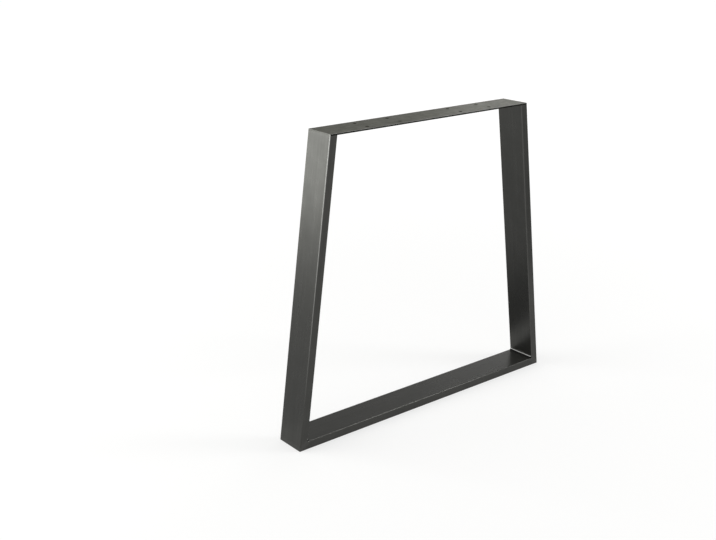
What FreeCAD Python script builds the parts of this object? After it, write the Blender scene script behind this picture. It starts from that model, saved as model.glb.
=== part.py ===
import FreeCAD, Part
import math
import os
import Sketcher

# A trapezoid table leg: a foot rail and two leaning posts of flat rectangular steel
# tube, mitred and welded at the floor, and closed at the top by a drilled plate.
# X runs along the leg, Y through its depth and Z up, all in millimetres. The origin
# is on the floor, under the middle of the foot rail.

# Driving sizes. Each one is a cell of the sheet, and can be changed by itself.
SIZES = {
    "overall_height": 720,  # floor to the face that the table top rests on
    "top_length": 605,  # over the outer faces, at the top of the plate
    "foot_length": 795,  # over the outer faces, at the floor
    "tube_depth": 80,  # wide side of the tube, along Y
    "tube_thickness": 20,  # narrow side of the tube
    "tube_wall": 2,
    "inner_bend_radius": 0.5,  # inside corner of the rolled tube
    "corner_round": 1,  # outer edge of a mitre, where the weld is ground flush
    "plate_thickness": 4,
    "plate_edge_radius": 1,
    "bolt_hole_diameter": 9,
    "bolt_pitch_along": 94,  # hole to hole along X, in one group of four
    "bolt_pitch_across": 44,  # hole to hole along Y
    "bolt_group_distance": 141,  # middle of the leg to the middle of a group
    "foot_weld_leg": 5,  # corner to toe of a weld bead on the foot rail, on both faces
    "foot_weld_crown": 0.8,  # how far the bead stands out of the flat between its toes
    "plate_weld_leg": 3,  # the same two sizes of a bead under the plate
    "plate_weld_crown": 0.5,
    "plate_weld_length": 60,  # a bead on the foot rail runs over the whole flat of the tube
}

# Values that follow from the driving sizes.
# LEAN is the angle of a post from upright, and CORNER the angle between a post and the
# floor. A mitre halves the corner.
LEAN = "atan((Sizes.foot_length - Sizes.top_length) / 2 / Sizes.overall_height)"
CORNER = f"(90 deg - {LEAN})"
MITRE = f"({CORNER} / 2)"
TUBE_RADIUS = "(Sizes.inner_bend_radius + Sizes.tube_wall)"
PLATE_UNDERSIDE = "(Sizes.overall_height - Sizes.plate_thickness)"
FOOT_WELD_LENGTH = f"(Sizes.tube_depth - 2 * {TUBE_RADIUS})"
# Length of a post's outer face, from the floor to the plate.
POST_LENGTH = f"({PLATE_UNDERSIDE} / cos({LEAN}))"
# Half the clear width of the leg, at the foot rail and at the plate.
INSIDE_AT_FOOT = f"(Sizes.foot_length / 2 - Sizes.tube_thickness / tan({MITRE}))"
INSIDE_AT_PLATE = (
    f"(Sizes.foot_length / 2 - {PLATE_UNDERSIDE} * tan({LEAN}) - Sizes.tube_thickness / cos({LEAN}))"
)

# How a sketch numbers the points of its lines and arcs, its origin and its axes.
START, END, CENTRE = range(1, 4)
ORIGIN = (-1, START)
X_AXIS, Y_AXIS = range(-1, -3, -1)

# The left end of the leg is the right one turned half round the upright axis.
TURN_IN_DEGREES = {"right": 0, "left": 180}

doc = FreeCAD.newDocument("table_leg")


def make_sheet():
    """Writes the driving sizes into a sheet, with a name and an alias for each."""
    sheet = doc.addObject("Spreadsheet::Sheet", "Sizes")
    for row, (alias, size) in enumerate(SIZES.items(), start=1):
        sheet.set(f"A{row}", alias.replace("_", " "))
        sheet.set(f"B{row}", str(size))
        sheet.setAlias(f"B{row}", alias)
    doc.recompute()
    return sheet


sheet = make_sheet()


def number(expression):
    """What an expression is worth now: millimetres, degrees or a plain number."""
    return FreeCAD.Units.Quantity(sheet.evalExpression(expression)).Value


def make_body(name):
    """An empty body whose name and label are the sub-part's name."""
    body = doc.addObject("PartDesign::Body", name)
    body.Label = name
    return body


def make_sketch(body, plane_role, name):
    """An empty sketch on one of the body's own origin planes."""
    plane = next(item for item in body.Origin.OriginFeatures if item.Role == plane_role)
    sketch = body.newObject("Sketcher::SketchObject", f"{body.Name}_{name}")
    sketch.AttachmentSupport = [(plane, "")]
    sketch.MapMode = "FlatFace"
    return sketch


def constrain(sketch, kind, *places):
    """Adds a constraint that has no size, such as coincident or horizontal."""
    return sketch.addConstraint(Sketcher.Constraint(kind, *places))


def dimension(sketch, name, kind, *places, size):
    """Adds a named dimension and ties it to the sheet."""
    start_value = math.radians(number(size)) if kind == "Angle" else number(size)
    index = sketch.addConstraint(Sketcher.Constraint(kind, *places, start_value))
    sketch.renameConstraint(index, name)
    sketch.setExpression(f"Constraints.{name}", size)


def draw_lines(sketch, corners):
    """Draws straight lines from corner to corner, each joined to the next one."""
    points = [FreeCAD.Vector(x, y, 0) for x, y in corners]
    lines = [
        sketch.addGeometry(Part.LineSegment(first, second), False)
        for first, second in zip(points, points[1:])
    ]
    for line, following in zip(lines, lines[1:]):
        constrain(sketch, "Coincident", line, END, following, START)
    return lines


def draw_closed_lines(sketch, corners):
    """Draws a closed outline of straight lines."""
    lines = draw_lines(sketch, corners + corners[:1])
    constrain(sketch, "Coincident", lines[-1], END, lines[0], START)
    return lines


def draw_rounded_rectangle(sketch, name, width, height, radius):
    """Draws a rectangle with round corners, its middle on the sketch's origin."""
    corner = number(radius)
    flat_x = number(width) / 2 - corner
    flat_y = number(height) / 2 - corner
    normal = FreeCAD.Vector(0, 0, 1)
    quarter = math.pi / 2
    arcs = []
    for turn, (x, y) in enumerate(((1, 1), (-1, 1), (-1, -1), (1, -1))):
        circle = Part.Circle(FreeCAD.Vector(x * flat_x, y * flat_y, 0), normal, corner)
        arc = Part.ArcOfCircle(circle, turn * quarter, (turn + 1) * quarter)
        arcs.append(sketch.addGeometry(arc, False))
    sides = []
    for arc, following in zip(arcs, arcs[1:] + arcs[:1]):
        first = sketch.Geometry[arc].EndPoint
        second = sketch.Geometry[following].StartPoint
        sides.append(sketch.addGeometry(Part.LineSegment(first, second), False))
    for arc, side, following in zip(arcs, sides, arcs[1:] + arcs[:1]):
        constrain(sketch, "Tangent", arc, END, side, START)
        constrain(sketch, "Tangent", side, END, following, START)
    for arc in arcs[1:]:
        constrain(sketch, "Equal", arcs[0], arc)
    top, left, bottom, right = sides
    constrain(sketch, "Symmetric", top, START, top, END, Y_AXIS)
    constrain(sketch, "Symmetric", left, START, left, END, X_AXIS)
    constrain(sketch, "Horizontal", bottom)
    constrain(sketch, "Vertical", right)
    dimension(sketch, f"{name}_width", "DistanceX", left, START, right, START, size=width)
    dimension(sketch, f"{name}_height", "DistanceY", bottom, START, top, START, size=height)
    dimension(sketch, f"{name}_radius", "Radius", arcs[0], size=radius)


def pad_through_depth(body, sketch, name, length):
    """Pads an outline of the leg's front view equally to both sides of it."""
    pad = body.newObject("PartDesign::Pad", f"{body.Name}_{name}")
    pad.Profile = sketch
    pad.SideType = "Symmetric"
    pad.setExpression("Length", length)
    return pad


def cut_through_depth(body, sketch, name):
    """Cuts an outline of the leg's front view through the whole depth."""
    cut = body.newObject("PartDesign::Pocket", f"{body.Name}_{name}")
    cut.Profile = sketch
    cut.SideType = "Symmetric"
    cut.Type = "ThroughAll"
    return cut


def mirror_along_leg(body, feature, name):
    """Repeats a cut at the other end of a sub-part that is centred on the leg."""
    mirrored = body.newObject("PartDesign::Mirrored", f"{body.Name}_{name}")
    mirrored.Originals = [feature]
    plane = next(item for item in body.Origin.OriginFeatures if item.Role == "YZ_Plane")
    mirrored.MirrorPlane = (plane, [""])
    body.Tip = mirrored
    return mirrored


def make_tube_blank(name, start, length):
    """A straight tube along X, sawn square and longer than the finished piece.

    Its outer face, the one on the outside of the leg, lies in Z = 0 and its inner
    face one thickness above.
    """
    body = make_body(name)
    section = make_sketch(body, "YZ_Plane", "section")
    draw_rounded_rectangle(section, "outside", "Sizes.tube_depth", "Sizes.tube_thickness", TUBE_RADIUS)
    draw_rounded_rectangle(
        section,
        "bore",
        "Sizes.tube_depth - 2 * Sizes.tube_wall",
        "Sizes.tube_thickness - 2 * Sizes.tube_wall",
        "Sizes.inner_bend_radius",
    )
    section.setExpression("AttachmentOffset.Base.y", "Sizes.tube_thickness / 2")
    section.setExpression("AttachmentOffset.Base.z", start)
    blank = body.newObject("PartDesign::Pad", f"{name}_blank")
    blank.Profile = section
    blank.setExpression("Length", length)
    return body


def saw_end(body, name, at, slope, side):
    """Saws a slanting end on a tube.

    The cut crosses the outer face at X = at, and moves along X by slope times the
    height above that face. What lies on the given side of it is taken off. The cut's
    outline reaches one thickness below the tube, one above it, and three to the side.
    """
    sketch = make_sketch(body, "XZ_Plane", name)
    low = f"{at} - Sizes.tube_thickness * {slope}"
    high = f"{at} + 2 * Sizes.tube_thickness * {slope}"
    far = f"{at} + {side} * 3 * Sizes.tube_thickness"
    thickness = number("Sizes.tube_thickness")
    corners = [
        (number(low), -thickness),
        (number(high), 2 * thickness),
        (number(far), 2 * thickness),
        (number(far), -thickness),
    ]
    cut_line, above, beyond, below = draw_closed_lines(sketch, corners)
    constrain(sketch, "Horizontal", above)
    constrain(sketch, "Vertical", beyond)
    constrain(sketch, "Horizontal", below)
    dimension(sketch, "low_x", "DistanceX", *ORIGIN, cut_line, START, size=low)
    dimension(sketch, "low_z", "DistanceY", cut_line, START, *ORIGIN, size="Sizes.tube_thickness")
    dimension(sketch, "high_x", "DistanceX", *ORIGIN, cut_line, END, size=high)
    dimension(sketch, "high_z", "DistanceY", *ORIGIN, cut_line, END, size="2 * Sizes.tube_thickness")
    dimension(sketch, "far_x", "DistanceX", *ORIGIN, beyond, START, size=far)
    return cut_through_depth(body, sketch, f"{name}_cut")


def grind_tip(body, at):
    """Rounds the sharp outer edge of a mitre, where its weld is ground flush.

    The round touches the outer faces of both tubes of the joint, and the mitre
    halves it, so each tube carries half of it.
    """
    sketch = make_sketch(body, "XZ_Plane", "ground_tip")
    radius = "Sizes.corner_round"
    touch = f"({radius} / tan({MITRE}))"
    own_x = f"{at} + {touch}"
    other_x = f"{at} + {touch} * cos({CORNER})"
    other_z = f"{touch} * sin({CORNER})"
    clear_x = f"{at} - {radius}"
    own = (number(own_x), 0)
    other = (number(other_x), number(other_z))
    clear = (number(clear_x), -number(radius))
    to_clear, to_own = draw_lines(sketch, [other, clear, own])
    circle = Part.Circle(FreeCAD.Vector(own[0], number(radius), 0), FreeCAD.Vector(0, 0, 1), number(radius))
    from_angle = math.radians(90 + number(CORNER))
    arc = sketch.addGeometry(Part.ArcOfCircle(circle, from_angle, 1.5 * math.pi), False)
    constrain(sketch, "Coincident", arc, START, to_clear, START)
    constrain(sketch, "Coincident", arc, END, to_own, END)
    constrain(sketch, "PointOnObject", to_own, END, X_AXIS)
    dimension(sketch, "own_x", "DistanceX", *ORIGIN, to_own, END, size=own_x)
    dimension(sketch, "other_x", "DistanceX", *ORIGIN, to_clear, START, size=other_x)
    dimension(sketch, "other_z", "DistanceY", *ORIGIN, to_clear, START, size=other_z)
    dimension(sketch, "clear_x", "DistanceX", *ORIGIN, to_clear, END, size=clear_x)
    dimension(sketch, "clear_z", "DistanceY", to_clear, END, *ORIGIN, size=radius)
    dimension(sketch, "round", "Radius", arc, size=radius)
    return cut_through_depth(body, sketch, "ground_tip_cut")


def mitre_end(body, tip):
    """Mitres the low end of a tube, with its sharp outer edge at X = tip."""
    sawn = saw_end(body, "mitre", tip, f"1 / tan({MITRE})", -1)
    ground = grind_tip(body, tip)
    return [sawn, ground]


def make_foot_rail():
    """The tube on the floor, mitred at both ends."""
    left_tip = "-Sizes.foot_length / 2"
    body = make_tube_blank(
        "foot_rail",
        f"{left_tip} - Sizes.tube_thickness",
        "Sizes.foot_length + 2 * Sizes.tube_thickness",
    )
    for feature in mitre_end(body, left_tip):
        mirror_along_leg(body, feature, f"{feature.Name}_right")
    return body


def make_post(side):
    """A leaning tube, mitred onto the foot rail and cut level under the plate."""
    body = make_tube_blank(
        f"{side}_post",
        "-Sizes.tube_thickness",
        f"{POST_LENGTH} + 2 * Sizes.tube_thickness",
    )
    mitre_end(body, "0")
    saw_end(body, "level_top", POST_LENGTH, f"tan({LEAN})", 1)
    turn = TURN_IN_DEGREES[side]
    foot = f"vector(cos({turn} deg) * Sizes.foot_length / 2; 0; 0)"
    body.setExpression("Placement", f"placement({foot}; rotation({turn}; -90 - {LEAN} / 1 deg; 0))")
    return body


def edges_reaching(shape, heights):
    """Names the edges whose two ends lie at the given heights, in either order."""
    rounding_error = 0.001
    names = []
    for index, edge in enumerate(shape.Edges, start=1):
        ends = sorted(edge.valueAt(at).z for at in edge.ParameterRange)
        if all(math.isclose(end, height, abs_tol=rounding_error) for end, height in zip(ends, heights)):
            names.append(f"Edge{index}")
    return names


def round_edges(body, base, name, edges, radius):
    """Rounds some edges of the last feature of a body."""
    fillet = body.newObject("PartDesign::Fillet", f"{body.Name}_{name}")
    fillet.Base = (base, edges)
    fillet.setExpression("Radius", radius)
    doc.recompute()
    return fillet


def make_plate_blank(body):
    """The plate's front view: its ends carry on the lean of the posts' outer faces."""
    outline = make_sketch(body, "XZ_Plane", "outline")
    length_below = f"Sizes.top_length + 2 * Sizes.plate_thickness * tan({LEAN})"
    half_below = number(length_below) / 2
    half_above = number("Sizes.top_length") / 2
    thickness = number("Sizes.plate_thickness")
    corners = [(-half_below, 0), (half_below, 0), (half_above, thickness), (-half_above, thickness)]
    below, _, above, _ = draw_closed_lines(outline, corners)
    constrain(outline, "Symmetric", below, START, below, END, Y_AXIS)
    constrain(outline, "Symmetric", above, START, above, END, Y_AXIS)
    constrain(outline, "PointOnObject", below, START, X_AXIS)
    dimension(outline, "length_below", "DistanceX", below, START, below, END, size=length_below)
    dimension(outline, "length_above", "DistanceX", above, END, above, START, size="Sizes.top_length")
    dimension(outline, "thickness", "DistanceY", below, START, above, END, size="Sizes.plate_thickness")
    blank = pad_through_depth(body, outline, "blank", "Sizes.tube_depth")
    doc.recompute()
    return blank


def make_bolt_holes(body):
    """Two groups of four plain holes, each at the corners of a rectangle."""
    centres = make_sketch(body, "XY_Plane", "bolt_centres")
    centres.setExpression("AttachmentOffset.Base.z", "Sizes.plate_thickness")
    nearest = "Sizes.bolt_group_distance - Sizes.bolt_pitch_along / 2"
    low_x = number(nearest)
    high_x = low_x + number("Sizes.bolt_pitch_along")
    half_y = number("Sizes.bolt_pitch_across") / 2
    radius = number("Sizes.bolt_hole_diameter") / 2
    circles = []
    for x, y in ((low_x, -half_y), (high_x, -half_y), (high_x, half_y), (low_x, half_y)):
        circle = Part.Circle(FreeCAD.Vector(x, y, 0), FreeCAD.Vector(0, 0, 1), radius)
        circles.append(centres.addGeometry(circle, False))
    near_low, far_low, far_high, near_high = circles
    for circle in circles[1:]:
        constrain(centres, "Equal", near_low, circle)
    constrain(centres, "Horizontal", near_low, CENTRE, far_low, CENTRE)
    constrain(centres, "Horizontal", near_high, CENTRE, far_high, CENTRE)
    constrain(centres, "Vertical", far_low, CENTRE, far_high, CENTRE)
    constrain(centres, "Symmetric", near_low, CENTRE, near_high, CENTRE, X_AXIS)
    dimension(centres, "nearest", "DistanceX", *ORIGIN, near_low, CENTRE, size=nearest)
    dimension(
        centres, "along", "DistanceX", near_low, CENTRE, far_low, CENTRE, size="Sizes.bolt_pitch_along"
    )
    dimension(
        centres, "across", "DistanceY", near_low, CENTRE, near_high, CENTRE, size="Sizes.bolt_pitch_across"
    )
    dimension(centres, "hole", "Diameter", near_low, size="Sizes.bolt_hole_diameter")
    doc.recompute()
    holes = body.newObject("PartDesign::Hole", f"{body.Name}_bolt_holes")
    holes.Profile = centres
    doc.recompute()
    holes.ThreadType = "None"
    holes.HoleCutType = "None"
    holes.DepthType = "ThroughAll"
    holes.setExpression("Diameter", "Sizes.bolt_hole_diameter")
    mirror_along_leg(body, holes, "bolt_holes_left")


def make_top_plate():
    """The flat bar that closes the posts and carries the table top."""
    body = make_body("top_plate")
    blank = make_plate_blank(body)
    top = number("Sizes.plate_thickness")
    corners = round_edges(body, blank, "corners", edges_reaching(blank.Shape, (0, top)), TUBE_RADIUS)
    rim = edges_reaching(corners.Shape, (top, top))
    round_edges(body, corners, "rim", rim, "Sizes.plate_edge_radius")
    make_bolt_holes(body)
    body.setExpression("Placement.Base.z", PLATE_UNDERSIDE)
    return body


def make_weld(place, side, length, inside, height, angle, roll):
    """A fillet weld bead in an inner corner, run across the tubes.

    The corner is the origin. One leg runs along X and the other rises from it at the
    corner's angle. The face between the two toes is a shallow convex arc.
    """
    body = make_body(f"weld_{place}_{side}")
    section = make_sketch(body, "XZ_Plane", "section")
    leg_size = f"Sizes.{place}_weld_leg"
    crown_size = f"Sizes.{place}_weld_crown"
    leg = number(leg_size)
    half_angle = math.radians(number(angle)) / 2
    top_toe = (leg * math.cos(2 * half_angle), leg * math.sin(2 * half_angle))
    along, rising = draw_lines(section, [(leg, 0), (0, 0), top_toe])
    reach = leg * math.cos(half_angle) + number(crown_size)
    crest = FreeCAD.Vector(reach * math.cos(half_angle), reach * math.sin(half_angle), 0)
    face = Part.Arc(FreeCAD.Vector(leg, 0, 0), crest, FreeCAD.Vector(*top_toe, 0))
    arc = section.addGeometry(face, False)
    constrain(section, "Coincident", along, END, *ORIGIN)
    constrain(section, "PointOnObject", along, START, X_AXIS)
    constrain(section, "Equal", along, rising)
    constrain(section, "Coincident", arc, START, along, START)
    constrain(section, "Coincident", arc, END, rising, END)
    half_chord = f"({leg_size} * sin({angle} / 2))"
    dimension(section, "leg", "DistanceX", *ORIGIN, along, START, size=leg_size)
    dimension(section, "corner", "Angle", along, END, rising, START, size=angle)
    dimension(
        section,
        "face",
        "Radius",
        arc,
        size=f"{half_chord} * {half_chord} / (2 * {crown_size}) + {crown_size} / 2",
    )
    pad_through_depth(body, section, "bead", length)
    turn = TURN_IN_DEGREES[side]
    corner = f"vector(cos({turn} deg) * {inside}; 0; {height})"
    body.setExpression("Placement", f"placement({corner}; rotation(180 - {turn}; 0; {roll}))")
    return body


def make_welds():
    """Beads above the foot rail and, turned upside down, below the plate."""
    beads = []
    thickness = "Sizes.tube_thickness"
    plate_length = "Sizes.plate_weld_length"
    plate_corner = f"(90 deg + {LEAN})"
    for side in TURN_IN_DEGREES:
        beads += [
            make_weld("foot", side, FOOT_WELD_LENGTH, INSIDE_AT_FOOT, thickness, CORNER, 0),
            make_weld("plate", side, plate_length, INSIDE_AT_PLATE, PLATE_UNDERSIDE, plate_corner, 180),
        ]
    return beads


def check_model(bodies):
    """Stops with a plain message if anything in the document failed."""
    for item in doc.Objects:
        if "Invalid" in item.State or "Error" in item.State:
            raise RuntimeError(f"{item.Name} failed: {item.State}")
    for body in bodies:
        if body.Shape.isNull() or not body.Shape.isValid() or len(body.Shape.Solids) != 1:
            raise RuntimeError(f"{body.Label} is not one valid solid")


def write_parts(bodies):
    """Writes each sub-part to a file with its own name."""
    os.makedirs("parts", exist_ok=True)
    for body in bodies:
        body.Shape.exportStep(f"parts/{body.Label}.step")
        print(f"{body.Label}: {body.Shape.Volume / 1000:.2f} cm3")


sub_parts = [make_foot_rail(), make_post("left"), make_post("right"), make_top_plate()] + make_welds()
doc.recompute()
check_model(sub_parts)
write_parts(sub_parts)
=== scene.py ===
import math

import bpy
import numpy as np
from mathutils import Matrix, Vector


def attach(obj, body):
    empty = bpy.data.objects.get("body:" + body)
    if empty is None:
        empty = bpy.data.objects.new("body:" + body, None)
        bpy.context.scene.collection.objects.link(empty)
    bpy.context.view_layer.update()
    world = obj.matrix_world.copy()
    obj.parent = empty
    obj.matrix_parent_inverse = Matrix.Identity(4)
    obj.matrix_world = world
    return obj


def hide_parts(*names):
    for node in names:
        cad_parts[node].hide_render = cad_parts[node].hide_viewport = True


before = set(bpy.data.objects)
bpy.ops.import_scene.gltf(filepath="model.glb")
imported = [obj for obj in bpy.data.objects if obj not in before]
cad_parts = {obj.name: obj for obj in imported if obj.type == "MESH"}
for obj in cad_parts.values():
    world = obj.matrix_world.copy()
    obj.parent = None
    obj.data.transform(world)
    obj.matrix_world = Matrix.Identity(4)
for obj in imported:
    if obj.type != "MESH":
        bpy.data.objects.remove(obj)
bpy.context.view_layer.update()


# Foot rail and posts
# Three lengths of 80 x 20 x 2 mm rectangular steel tube, mitred and welded at the floor. Drawing the
# tube through its die leaves fine lines along it, and a clear lacquer over the bare steel keeps it dark
# and satin.
MM = 0.001
TUBE_WIDTH = 80 * MM
TUBE_THICKNESS = 20 * MM
EDGE_RADIUS = 2.5 * MM
FOOT_HALF_LENGTH = 397.5 * MM
PLATE_HALF_LENGTH = 302.5 * MM
LEG_HEIGHT = 720 * MM
PLATE_THICKNESS = 4 * MM
LEAN = math.atan2(FOOT_HALF_LENGTH - PLATE_HALF_LENGTH, LEG_HEIGHT)
MITRE = (math.pi / 2 - LEAN) / 2

TUBE_DARK = "#3d3d3b"
TUBE_LIGHT = "#464644"
EDGE_HIGHLIGHT_COLOUR = "#a2a2a0"
GROUND_STEEL = "#535351"

# How often each pattern repeats in a metre. The first two say it along the tube, and then in both
# directions across it.
DIE_LINES = (6, 620, 620)
STRIP_BANDS = (3, 100, 100)
CLOUDS = 28
RAGGED_EDGE = 140

# Distances from the joints, for the marks that grinding and brushing leave there.
GROUND_FULL = 7 * MM
GROUND_END = 14 * MM
RAGGED_DEPTH = 8 * MM
PLATE_JOINT_INSET = 5 * MM
DULL_FULL = 15 * MM
DULL_END = 60 * MM

# Below this height above the floor the painted edge highlight has the same strength everywhere.
EDGE_HIGHLIGHT_EVEN_BELOW = 100 * MM


def linear(colour):
    """An sRGB hex colour as linear red, green, blue and alpha."""
    srgb = np.array([int(colour[i:i + 2], 16) for i in (1, 3, 5)]) / 255
    low = srgb / 12.92
    high = ((srgb + 0.055) / 1.055) ** 2.4
    return (*np.where(srgb <= 0.04045, low, high).tolist(), 1.0)


def add(tree, kind, links=None, **settings):
    """Adds one node. Settings are its properties, and links gives an input a value or a node's output."""
    node = tree.nodes.new("ShaderNode" + kind)
    for name, value in settings.items():
        setattr(node, name, value)
    for socket, value in (links or {}).items():
        if isinstance(value, bpy.types.NodeSocket):
            tree.links.new(value, node.inputs[socket])
        else:
            node.inputs[socket].default_value = value
    return node


def new_material(name):
    """An empty node material, and its tree."""
    material = bpy.data.materials.new(name)
    material.use_nodes = True
    material.node_tree.nodes.clear()
    return material, material.node_tree


def dress(node, material):
    """Puts the material in every slot of a CAD node."""
    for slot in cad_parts[node].material_slots:
        slot.link = "OBJECT"
        slot.material = material


def drawn_tube_steel(name, tilt, middle, highlight_low, highlight_high):
    """Cold-drawn mild steel under lacquer: dark and satin, with long faint lines and a painted highlight on
    its thin rounded edges.

    Tilt turns the tube's axis onto X, and middle is where the tube's centre plane then lies along Z. The
    edges get a painted highlight of highlight_low up to 100 mm above the floor, and of highlight_high at the
    top.
    """
    material, tree = new_material(name)
    place = add(tree, "TexCoord").outputs["Object"]
    tube = add(tree, "Mapping", {"Vector": place, "Rotation": (0, tilt, 0), "Location": (0, 0, -middle)})
    along = tube.outputs["Vector"]

    # The die's lines are about 0.3 mm apart. They are drawn 1.6 mm apart, so that they show.
    lines = add(tree, "VectorMath", {0: along, 1: DIE_LINES}, operation="MULTIPLY")
    lines = add(tree, "TexNoise", {"Vector": lines.outputs[0], "Scale": 1, "Detail": 3, "Roughness": 0.6})
    # Broader bands, 10 mm wide and a third of a metre long, from the rolling of the strip.
    bands = add(tree, "VectorMath", {0: along, 1: STRIP_BANDS}, operation="MULTIPLY")
    bands = add(tree, "TexNoise", {"Vector": bands.outputs[0], "Scale": 1, "Detail": 2, "Roughness": 0.5})
    # Clouds in the steel's skin under the lacquer, about 35 mm across.
    clouds = add(tree, "TexNoise", {"Vector": place, "Scale": CLOUDS, "Detail": 5, "Roughness": 0.6})
    # Each of the three lies round a half, so their sum lies round one and a half.
    grain = add(tree, "Math", {0: lines.outputs["Fac"], 1: bands.outputs["Fac"]}, operation="ADD")
    grain = add(tree, "Math", {0: grain.outputs[0], 1: clouds.outputs["Fac"]}, operation="ADD")
    shade = add(tree, "MapRange", {"Value": grain.outputs[0], "From Min": 1.1, "From Max": 1.9})
    colour = add(tree, "Mix", {"Factor": shade.outputs[0], "A": linear(TUBE_DARK), "B": linear(TUBE_LIGHT)},
                 data_type="RGBA")

    # Painted highlight along the edges: past the wide side's flat, on the half of the rounding that is
    # nearer to that side, its strength set by height.
    section = add(tree, "VectorMath", {0: along}, operation="ABSOLUTE")
    section = add(tree, "SeparateXYZ", {"Vector": section.outputs[0]})
    deep = add(tree, "Math", {0: section.outputs["Y"], 1: TUBE_WIDTH / 2 - EDGE_RADIUS},
               operation="SUBTRACT")
    thick = add(tree, "Math", {0: section.outputs["Z"], 1: (TUBE_THICKNESS - EDGE_RADIUS) / 2},
                operation="SUBTRACT")
    past = add(tree, "Math", {0: deep.outputs[0], 1: thick.outputs[0]}, operation="MINIMUM")
    crest = add(tree, "MapRange", {"Value": past.outputs[0], "From Min": -0.2 * MM, "From Max": 0.8 * MM},
                interpolation_type="SMOOTHSTEP")
    height = add(tree, "SeparateXYZ", {"Vector": place})
    edge_highlight = add(tree, "MapRange", {"Value": height.outputs["Z"], "From Min": EDGE_HIGHLIGHT_EVEN_BELOW,
                                    "From Max": LEG_HEIGHT, "To Min": highlight_low, "To Max": highlight_high})
    edge_highlight = add(tree, "Math", {0: crest.outputs[0], 1: edge_highlight.outputs[0]}, operation="MULTIPLY")
    colour = add(tree, "Mix", {"Factor": edge_highlight.outputs[0], "A": colour.outputs["Result"],
                               "B": linear(EDGE_HIGHLIGHT_COLOUR)}, data_type="RGBA")

    # Ground welds: a strip on each side of the mitres, and a narrower one under the plate, both ragged.
    folded = add(tree, "VectorMath", {0: place}, operation="ABSOLUTE")
    mitre = add(tree, "VectorMath", {0: folded.outputs[0], 1: (math.sin(MITRE), 0, math.cos(MITRE))},
                operation="DOT_PRODUCT")
    mitre = add(tree, "Math", {0: mitre.outputs["Value"], 1: FOOT_HALF_LENGTH * math.sin(MITRE)},
                operation="SUBTRACT")
    mitre = add(tree, "Math", {0: mitre.outputs[0]}, operation="ABSOLUTE")
    joint = add(tree, "Math", {0: height.outputs["Z"], 1: LEG_HEIGHT - PLATE_THICKNESS},
                operation="SUBTRACT")
    joint = add(tree, "Math", {0: joint.outputs[0]}, operation="ABSOLUTE")
    joint = add(tree, "Math", {0: joint.outputs[0], 1: PLATE_JOINT_INSET}, operation="ADD")
    near = add(tree, "Math", {0: mitre.outputs[0], 1: joint.outputs[0]}, operation="MINIMUM")
    ragged = add(tree, "TexNoise", {"Vector": place, "Scale": RAGGED_EDGE, "Detail": 3})
    ragged = add(tree, "Math", {0: ragged.outputs["Fac"], 1: RAGGED_DEPTH}, operation="MULTIPLY")
    near = add(tree, "Math", {0: near.outputs[0], 1: ragged.outputs[0]}, operation="ADD")
    ground = add(tree, "MapRange", {"Value": near.outputs[0], "From Min": GROUND_END,
                                    "From Max": GROUND_FULL, "To Max": 0.3},
                 interpolation_type="SMOOTHSTEP")
    colour = add(tree, "Mix", {"Factor": ground.outputs[0], "A": colour.outputs["Result"],
                               "B": linear(GROUND_STEEL)}, data_type="RGBA")

    rough = add(tree, "MapRange", {"Value": grain.outputs[0], "From Min": 1.2, "From Max": 1.8,
                                   "To Min": 0.30, "To Max": 0.27})
    # Brushing round the mitres leaves the steel a little duller there.
    dull = add(tree, "MapRange", {"Value": mitre.outputs[0], "From Min": DULL_END, "From Max": DULL_FULL,
                                  "To Max": 0.05}, interpolation_type="SMOOTHSTEP")
    rough = add(tree, "Math", {0: rough.outputs[0], 1: dull.outputs[0]}, operation="ADD")
    relief = add(tree, "Bump", {"Height": lines.outputs["Fac"], "Strength": 1.0, "Distance": 0.0015 * MM})
    # The lacquer scatters a little of the light, so the steel isn't wholly metallic.
    steel = add(tree, "BsdfPrincipled", {"Base Color": colour.outputs["Result"], "Metallic": 0.88,
                                         "Roughness": rough.outputs[0],
                                         "Specular Tint": (0.78, 0.78, 0.78, 1),
                                         "Normal": relief.outputs[0]})
    add(tree, "OutputMaterial", {"Surface": steel.outputs[0]})
    return material


# How far each post's centre plane lies from the part's origin, measured square to the post.
post_middle = FOOT_HALF_LENGTH * math.cos(LEAN) - TUBE_THICKNESS / 2
# The last two numbers give each tube's painted edge highlight near the floor and at the top; on the left
# post it rises from none to full, as the light on that edge does.
dress("foot_rail", drawn_tube_steel("drawn_steel_foot_rail", 0, TUBE_THICKNESS / 2, 0.16, 0.16))
dress("left_post", drawn_tube_steel("drawn_steel_left_post", math.pi / 2 - LEAN, post_middle, 0.0, 1.0))
dress("right_post", drawn_tube_steel("drawn_steel_right_post", math.pi / 2 + LEAN, -post_middle, 0.12, 0.10))


# Top plate
# An 80 x 4 mm flat bar of hot-rolled steel across the posts, with two groups of four screw holes. The mill
# scale left on it is mottled and a little warmer than the tube, under the same lacquer.
SCALE_DARK = "#3e3e39"
SCALE_LIGHT = "#4b4b45"
PAINTED_SIDE_SHADE = "#1c1c1a"
CLEAN_END = "#4a4a48"
SCALE_PATCHES = 80

# Each mark on the plate begins and is full at these distances inside its border.
SIDE_SHADE_MARK = (0.7 * MM, 0.2 * MM)
END_MARK = (0.8 * MM, 0.2 * MM)
CORNER_HIGHLIGHT_MARK = (2.4 * MM, 1.6 * MM)
RIM_HIGHLIGHT_OUTER = (0.8 * MM, 0.4 * MM)
RIM_HIGHLIGHT_UPPER = (0.7 * MM, 0.3 * MM)


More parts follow.
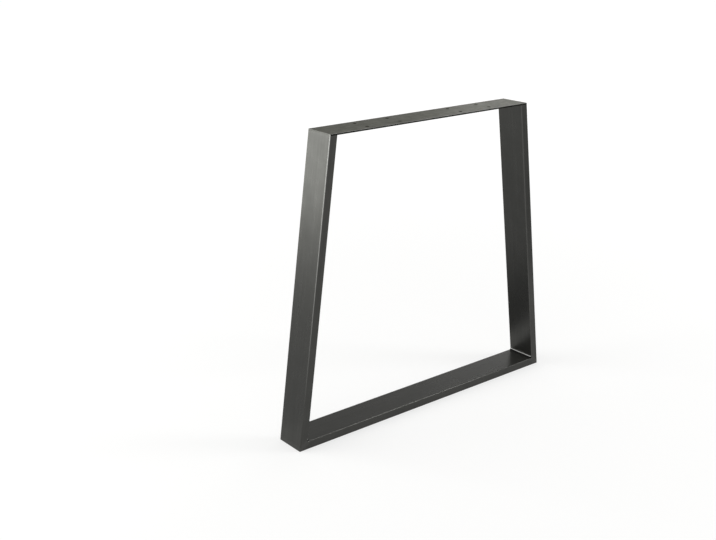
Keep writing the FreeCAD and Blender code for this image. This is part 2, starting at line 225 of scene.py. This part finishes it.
def rolled_plate_steel():
    """Hot-rolled flat bar under lacquer: olive grey, mottled by its scale, duller than the tube."""
    material, tree = new_material("rolled_steel_plate")
    place = add(tree, "TexCoord").outputs["Object"]
    # Patches of scale, about 12 mm across, with finer flecks in them.
    patches = add(tree, "TexNoise", {"Vector": place, "Scale": SCALE_PATCHES, "Detail": 5,
                                     "Roughness": 0.65})
    shade = add(tree, "MapRange", {"Value": patches.outputs["Fac"], "From Min": 0.35, "From Max": 0.65})
    colour = add(tree, "Mix", {"Factor": shade.outputs[0], "A": linear(SCALE_DARK),
                               "B": linear(SCALE_LIGHT)}, data_type="RGBA")
    # Painted shade: the bar's narrow sides are drawn darker.
    folded = add(tree, "VectorMath", {0: place}, operation="ABSOLUTE")
    folded = add(tree, "SeparateXYZ", {"Vector": folded.outputs[0]})
    side = add(tree, "MapRange", {"Value": folded.outputs["Y"], "From Min": TUBE_WIDTH / 2 - SIDE_SHADE_MARK[0],
                                  "From Max": TUBE_WIDTH / 2 - SIDE_SHADE_MARK[1]},
               interpolation_type="SMOOTHSTEP")
    colour = add(tree, "Mix", {"Factor": side.outputs[0], "A": colour.outputs["Result"],
                               "B": linear(PAINTED_SIDE_SHADE)}, data_type="RGBA")
    # Its two ends are ground flush with the posts: as clean as the tube, with the same painted highlight at
    # the corners.
    end = add(tree, "MapRange", {"Value": folded.outputs["X"], "From Min": PLATE_HALF_LENGTH - END_MARK[0],
                                 "From Max": PLATE_HALF_LENGTH - END_MARK[1]},
              interpolation_type="SMOOTHSTEP")
    corner = add(tree, "MapRange", {"Value": folded.outputs["Y"],
                                    "From Min": TUBE_WIDTH / 2 - CORNER_HIGHLIGHT_MARK[0],
                                    "From Max": TUBE_WIDTH / 2 - CORNER_HIGHLIGHT_MARK[1]},
                 interpolation_type="SMOOTHSTEP")
    clean_end_and_highlight = add(tree, "Mix", {"Factor": corner.outputs[0], "A": linear(CLEAN_END),
                              "B": linear(EDGE_HIGHLIGHT_COLOUR)}, data_type="RGBA")
    colour = add(tree, "Mix", {"Factor": end.outputs[0], "A": colour.outputs["Result"],
                               "B": clean_end_and_highlight.outputs["Result"]}, data_type="RGBA")
    # The rounded upper edge has a painted highlight as well: a thin brighter line all round the plate.
    over_side = add(tree, "Math", {0: folded.outputs["Y"], 1: TUBE_WIDTH / 2}, operation="SUBTRACT")
    over_end = add(tree, "Math", {0: folded.outputs["X"], 1: PLATE_HALF_LENGTH}, operation="SUBTRACT")
    over = add(tree, "Math", {0: over_side.outputs[0], 1: over_end.outputs[0]}, operation="MAXIMUM")
    outer = add(tree, "MapRange", {"Value": over.outputs[0], "From Min": -RIM_HIGHLIGHT_OUTER[0],
                                   "From Max": -RIM_HIGHLIGHT_OUTER[1]}, interpolation_type="SMOOTHSTEP")
    upper = add(tree, "MapRange", {"Value": folded.outputs["Z"], "From Min": LEG_HEIGHT - RIM_HIGHLIGHT_UPPER[0],
                                   "From Max": LEG_HEIGHT - RIM_HIGHLIGHT_UPPER[1]},
                interpolation_type="SMOOTHSTEP")
    edge_highlight = add(tree, "Math", {0: outer.outputs[0], 1: upper.outputs[0]}, operation="MULTIPLY")
    colour = add(tree, "Mix", {"Factor": edge_highlight.outputs[0], "A": colour.outputs["Result"],
                               "B": linear(EDGE_HIGHLIGHT_COLOUR)}, data_type="RGBA")
    rough = add(tree, "MapRange", {"Value": patches.outputs["Fac"], "From Min": 0.3, "From Max": 0.7,
                                   "To Min": 0.40, "To Max": 0.32})
    relief = add(tree, "Bump", {"Height": patches.outputs["Fac"], "Strength": 1.0, "Distance": 0.015 * MM})
    steel = add(tree, "BsdfPrincipled", {"Base Color": colour.outputs["Result"], "Metallic": 1.0,
                                         "Roughness": rough.outputs[0],
                                         "Specular Tint": (0.66, 0.66, 0.63, 1),
                                         "Normal": relief.outputs[0]})
    add(tree, "OutputMaterial", {"Surface": steel.outputs[0]})
    return material


dress("top_plate", rolled_plate_steel())


# Inner welds
# Four fillet beads, run by hand across the tube at the inner corners: two of 5 mm on the foot rail, which
# end 1 mm past its flat, and two of 3 mm under the plate. Each is a row of frozen ripples, rounded off at
# both ends, and is wire-brushed bright before the lacquer.
FOOT_BEAD = {"leg": 5 * MM, "crown": 0.8 * MM, "half_length": TUBE_WIDTH / 2 - 1.5 * MM}
PLATE_BEAD = {"leg": 3 * MM, "crown": 0.5 * MM, "half_length": 30 * MM}
RIPPLE_PITCH = 1.5 * MM
RIPPLE_HEIGHT = 0.15 * MM
RIPPLE_BOW = 0.5
BEAD_ROOT = 0.4 * MM
RING_COUNT = 401
SKIN_POINTS = 13

# The toes stop short of the full leg by this share of it. They wander in two waves, each given by its
# share of the leg, its length and its start.
TOE_INSET = 0.025
TOE_WANDER = ((0.015, 5.3 * MM, 0.0), (0.01, 1.9 * MM, 1.0))

BRUSHED_DARK = "#e6e6e5"
BRUSHED_LIGHT = "#fafaf9"
PAINTED_BEAD_SHADE = "#0c0c0c"
BEAD_SHADE_FADES_FROM = 3.3 * MM
BEAD_SHADE_GONE_AT = 3.9 * MM
BRUSH_GRAINS = 1200


def bead_rings(corner, towards_a, towards_b, leg, crown, half_length):
    """Rings of a fillet bead along Y.

    Across, the skin runs from the toe on face A to the toe on face B, on the straight chord plus a crown of
    4t(1-t). Along, the crown gains |sin| lobes, one a ripple, bowed back in the middle of the bead, and over
    half a leg at each end the whole section shrinks as a quarter ellipse. The ring closes through the root
    behind the corner.
    """
    y = np.linspace(-half_length, half_length, RING_COUNT)
    t = np.linspace(0, 1, SKIN_POINTS)
    hump = 4 * t * (1 - t)
    taper = leg / 2
    past = np.clip(np.abs(y) - (half_length - taper), 0, None) / taper
    size = np.sqrt(np.clip(1 - past ** 2, 0, 1))
    wander = sum(share * np.sin(y / length + start) for share, length, start in TOE_WANDER)
    reach = leg * (1 - TOE_INSET + wander) * size

    a = np.array(towards_a)
    b = np.array(towards_b)
    out = (a + b) / np.linalg.norm(a + b)
    chord = a[None, :] * (1 - t)[:, None] + b[None, :] * t[:, None]
    phase = y[:, None] / RIPPLE_PITCH + RIPPLE_BOW * hump[None, :]
    ripple = np.abs(np.sin(math.pi * phase)) - 1
    rise = (crown + RIPPLE_HEIGHT * ripple) * hump[None, :] * size[:, None]
    skin = reach[:, None, None] * chord[None] + rise[:, :, None] * out
    root = -BEAD_ROOT * out[None, None, :] * size[:, None, None]
    ring = np.concatenate([skin, root], axis=1) + np.array(corner)
    # A ring that runs the other way round is turned, so that every face looks outwards.
    if a[0] * b[1] - a[1] * b[0] < 0:
        ring = ring[:, ::-1]
    depth = np.broadcast_to(y[:, None], ring.shape[:2])
    return np.stack([ring[..., 0], depth, ring[..., 1]], axis=-1)


def closed_skin(name, rings):
    """A closed mesh: quads between neighbouring rings, and each end ring gathered into one pole."""
    count, around = rings.shape[:2]
    body = rings[1:-1].reshape(-1, 3)
    poles = np.stack([rings[0].mean(0), rings[-1].mean(0)])
    near = np.arange(around)
    after = np.roll(near, -1)
    rows = np.arange(count - 3)[:, None] * around
    quads = np.stack([rows + near, rows + after, rows + around + after, rows + around + near], axis=-1)
    first_pole = len(body)
    last_pole = first_pole + 1
    last_ring = (count - 3) * around
    start = np.stack([near * 0 + first_pole, after, near], axis=-1)
    end = np.stack([near * 0 + last_pole, last_ring + near, last_ring + after], axis=-1)
    faces = quads.reshape(-1, 4).tolist() + start.tolist() + end.tolist()
    mesh = bpy.data.meshes.new(name)
    mesh.from_pydata(np.concatenate([body, poles]).tolist(), [], faces)
    mesh.shade_smooth()
    piece = bpy.data.objects.new(name, mesh)
    bpy.context.scene.collection.objects.link(piece)
    return piece


def brushed_weld_steel():
    """Wire-brushed weld metal under lacquer: brighter and smoother than the tube, with painted shade low on
    the rail.
    """
    material, tree = new_material("brushed_weld_steel")
    place = add(tree, "TexCoord").outputs["Object"]
    # Grains of the brushing, about 0.8 mm.
    grains = add(tree, "TexNoise", {"Vector": place, "Scale": BRUSH_GRAINS, "Detail": 2})
    colour = add(tree, "Mix", {"Factor": grains.outputs["Fac"], "A": linear(BRUSHED_DARK),
                               "B": linear(BRUSHED_LIGHT)}, data_type="RGBA")
    # Painted shade: the lower part of a foot bead, down in the inner corner, is drawn near-black.
    height = add(tree, "SeparateXYZ", {"Vector": place})
    clear_of_shade = add(tree, "MapRange", {"Value": height.outputs["Z"],
                                     "From Min": TUBE_THICKNESS + BEAD_SHADE_FADES_FROM,
                                     "From Max": TUBE_THICKNESS + BEAD_SHADE_GONE_AT},
                  interpolation_type="SMOOTHSTEP")
    colour = add(tree, "Mix", {"Factor": clear_of_shade.outputs[0], "A": linear(PAINTED_BEAD_SHADE),
                               "B": colour.outputs["Result"]}, data_type="RGBA")
    steel = add(tree, "BsdfPrincipled", {"Base Color": colour.outputs["Result"], "Metallic": 1.0,
                                         "Roughness": 0.17})
    add(tree, "OutputMaterial", {"Surface": steel.outputs[0]})
    return material


weld_steel = brushed_weld_steel()
inner_foot = FOOT_HALF_LENGTH - TUBE_THICKNESS / math.tan(MITRE)
under_plate = LEG_HEIGHT - PLATE_THICKNESS
inner_plate = FOOT_HALF_LENGTH - under_plate * math.tan(LEAN) - TUBE_THICKNESS / math.cos(LEAN)
up_the_post = np.array([-math.sin(LEAN), math.cos(LEAN)])
inwards = np.array([-1.0, 0.0])
for place, corner, post, bead_size in (("foot", (inner_foot, TUBE_THICKNESS), up_the_post, FOOT_BEAD),
                                       ("plate", (inner_plate, under_plate), -up_the_post, PLATE_BEAD)):
    for side, sign in (("left", -1), ("right", 1)):
        mirror = np.array([sign, 1])
        node = f"weld_{place}_{side}"
        rings = bead_rings(corner * mirror, inwards * mirror, post * mirror, **bead_size)
        bead = closed_skin(f"bead_{place}_{side}", rings)
        bead.data.materials.append(weld_steel)
        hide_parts(node)
        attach(bead, "root")


# Floor
# A plain white studio floor, which shows white to the eye and in the steel and still takes a soft shadow.
FLOOR_HALF = 40.0
FLOOR_PAPER = "#aaaaaa"
PURE_WHITE = "#ffffff"

# The floor's own white, where the lamps reach it and where they don't, and how far out each of them lies.
LIT_WHITE = 0.635
UNLIT_WHITE = 0.75
LIT_RADIUS = 0.6
UNLIT_RADIUS = 3.5


def white_floor():
    """Matt white: part of its white is light that falls on it, so that a shadow takes that part away."""
    material, tree = new_material("white_floor")
    path = add(tree, "LightPath")
    seen = add(tree, "Math", {0: path.outputs["Is Camera Ray"], 1: path.outputs["Is Glossy Ray"]},
               operation="MAXIMUM")
    seen = add(tree, "Math", {0: seen.outputs[0], 1: path.outputs["Is Transmission Ray"]},
               operation="MAXIMUM")
    # The lamps reach only the middle of the floor, so the rest is made up here.
    distance = add(tree, "VectorMath", {0: add(tree, "TexCoord").outputs["Object"]}, operation="LENGTH")
    own = add(tree, "MapRange", {"Value": distance.outputs["Value"], "From Min": LIT_RADIUS,
                                 "From Max": UNLIT_RADIUS, "To Min": LIT_WHITE, "To Max": UNLIT_WHITE},
              interpolation_type="SMOOTHSTEP")
    glow = add(tree, "Math", {0: seen.outputs[0], 1: own.outputs[0]}, operation="MULTIPLY")
    matt = add(tree, "BsdfDiffuse", {"Color": linear(FLOOR_PAPER)})
    glow = add(tree, "Emission", {"Color": linear(PURE_WHITE), "Strength": glow.outputs[0]})
    both = add(tree, "AddShader", {0: matt.outputs[0], 1: glow.outputs[0]})
    add(tree, "OutputMaterial", {"Surface": both.outputs[0]})
    return material


corners = np.array([(-1, -1, 0), (1, -1, 0), (1, 1, 0), (-1, 1, 0)]) * FLOOR_HALF
floor_mesh = bpy.data.meshes.new("floor")
floor_mesh.from_pydata(corners.tolist(), [], [(0, 1, 2, 3)])
floor = bpy.data.objects.new("floor", floor_mesh)
bpy.context.scene.collection.objects.link(floor)
floor.data.materials.append(white_floor())


# Cards
# Three glowing sheets just above the floor that show only in the steel: painted reflections, darker than the
# white floor. The one behind the leg darkens the right post's inner side, the one on the left darkens the
# lower half of the left post's outer side, and the one in front darkens the right post's narrow side.
CARD_HEIGHT = 0.5 * MM

# How far from the leg, in metres, the sheet's second level begins and is full, and its third.
SECOND_LEVEL = (0.2, 0.5)
THIRD_LEVEL = (0.7, 2.0)


def painted_reflection_sheet(name, near, middle, far):
    """A glowing sheet, a painted reflection, of three levels, near the leg, farther and far out, with smooth
    steps between them.
    """
    material, tree = new_material(name)
    place = add(tree, "SeparateXYZ", {"Vector": add(tree, "TexCoord").outputs["Object"]})
    away = add(tree, "Math", {0: place.outputs["Y"]}, operation="ABSOLUTE")
    rise = add(tree, "MapRange", {"Value": away.outputs[0], "From Min": SECOND_LEVEL[0],
                                  "From Max": SECOND_LEVEL[1], "To Min": near, "To Max": middle},
               interpolation_type="SMOOTHSTEP")
    fall = add(tree, "MapRange", {"Value": away.outputs[0], "From Min": THIRD_LEVEL[0],
                                  "From Max": THIRD_LEVEL[1], "To Max": middle - far},
               interpolation_type="SMOOTHSTEP")
    level = add(tree, "Math", {0: rise.outputs[0], 1: fall.outputs[0]}, operation="SUBTRACT")
    sheet_glow = add(tree, "Emission", {"Color": linear(PURE_WHITE), "Strength": level.outputs[0]})
    add(tree, "OutputMaterial", {"Surface": sheet_glow.outputs[0]})
    return material


for name, outline, levels in (
        ("card_behind", ((-0.30, 0.12), (0.34, 0.12), (-0.72, 2.4), (-1.62, 2.4)), (0.20, 0.70, 0.45)),
        ("card_left", ((-0.45, 0.12), (-1.35, 1.7), (-2.4, 1.4), (-0.85, 0.05)), (0.75, 0.75, 0.6)),
        ("card_in_front", ((0.7, -0.8), (3.5, -3.3), (4.3, -2.4), (1.3, -0.3)), (0.7, 0.6, 0.5))):
    mesh = bpy.data.meshes.new(name)
    mesh.from_pydata([(x, y, CARD_HEIGHT) for x, y in outline], [], [(0, 1, 2, 3)])
    card = bpy.data.objects.new(name, mesh)
    bpy.context.scene.collection.objects.link(card)
    card.data.materials.append(painted_reflection_sheet(name, *levels))
    card.visible_camera = False
    card.visible_diffuse = False
    card.visible_shadow = False
    card.visible_transmission = False


# Light
# A pale, even room with three soft boxes: a broad one behind on the left, a low, wide and fainter one behind
# on the right, and a small key light high in front on the right.
def soft_box(name, place, target, width, height, radiance, colour):
    """A rectangular lamp that looks at a point, unseen by the camera. Its power is radiance x pi x area."""
    lamp = bpy.data.lights.new(name, "AREA")
    lamp.shape = "RECTANGLE"
    lamp.size = width
    lamp.size_y = height
    lamp.energy = radiance * math.pi * width * height
    lamp.color = linear(colour)[:3]
    box = bpy.data.objects.new(name, lamp)
    box.location = place
    aim = Vector(target) - Vector(place)
    box.rotation_euler = aim.to_track_quat("-Z", "Y").to_euler()
    box.visible_camera = False
    bpy.context.scene.collection.objects.link(box)


soft_box("left_box", (-2.55, 1.95, 1.08), (-0.35, 0.0, 1.08),
         width=2.4, height=1.8, radiance=4.4, colour="#fefffc")
soft_box("right_box", (5.2, 3.15, 1.15), (0.0, 0.0, 1.0),
         width=3.2, height=0.9, radiance=2.3, colour=PURE_WHITE)
soft_box("key_box", (2.0, -1.7, 2.3), (0.0, 0.0, 0.3),
         width=0.9, height=0.9, radiance=8.0, colour=PURE_WHITE)

# The room is white up to 11 degrees above the horizon and fades to a pale grey ceiling at 21 degrees. Both
# heights are sines of those angles.
ROOM_COLOUR = "#fffffd"
WHITE_UP_TO = 0.20
CEILING_FROM = 0.36
CEILING_LEVEL = 0.62

world = bpy.data.worlds.new("room")
bpy.context.scene.world = world
world.use_nodes = True
room = world.node_tree
room.nodes.clear()
up = add(room, "SeparateXYZ", {"Vector": add(room, "TexCoord").outputs["Generated"]})
level = add(room, "MapRange", {"Value": up.outputs["Z"], "From Min": WHITE_UP_TO, "From Max": CEILING_FROM,
                               "To Min": 1.0, "To Max": CEILING_LEVEL}, interpolation_type="SMOOTHSTEP")
background = add(room, "Background", {"Color": linear(ROOM_COLOUR), "Strength": level.outputs[0]})
add(room, "OutputWorld", {"Surface": background.outputs[0]})


# Camera
# It stands to the left of the leg and above it, as in the photograph. Its angles are in degrees, and the
# focal length is in pixels of a picture of that width.
CAMERA_PLACE = (-1.62598, -1.77679, 1.17042)
CAMERA_PITCH = -19.018
CAMERA_YAW = 38.826
SENSOR_WIDTH = 36.0
FOCAL_PIXELS = 1050.83
PICTURE_WIDTH = 716

lens = bpy.data.cameras.new("camera")
lens.sensor_fit = "HORIZONTAL"
lens.sensor_width = SENSOR_WIDTH
lens.lens = SENSOR_WIDTH * (FOCAL_PIXELS / PICTURE_WIDTH)
camera = bpy.data.objects.new("camera", lens)
camera.location = CAMERA_PLACE
camera.rotation_euler = (math.radians(90 + CAMERA_PITCH), 0, math.radians(-CAMERA_YAW))
bpy.context.scene.collection.objects.link(camera)
bpy.context.scene.camera = camera

bpy.context.scene.view_settings.view_transform = "Standard"
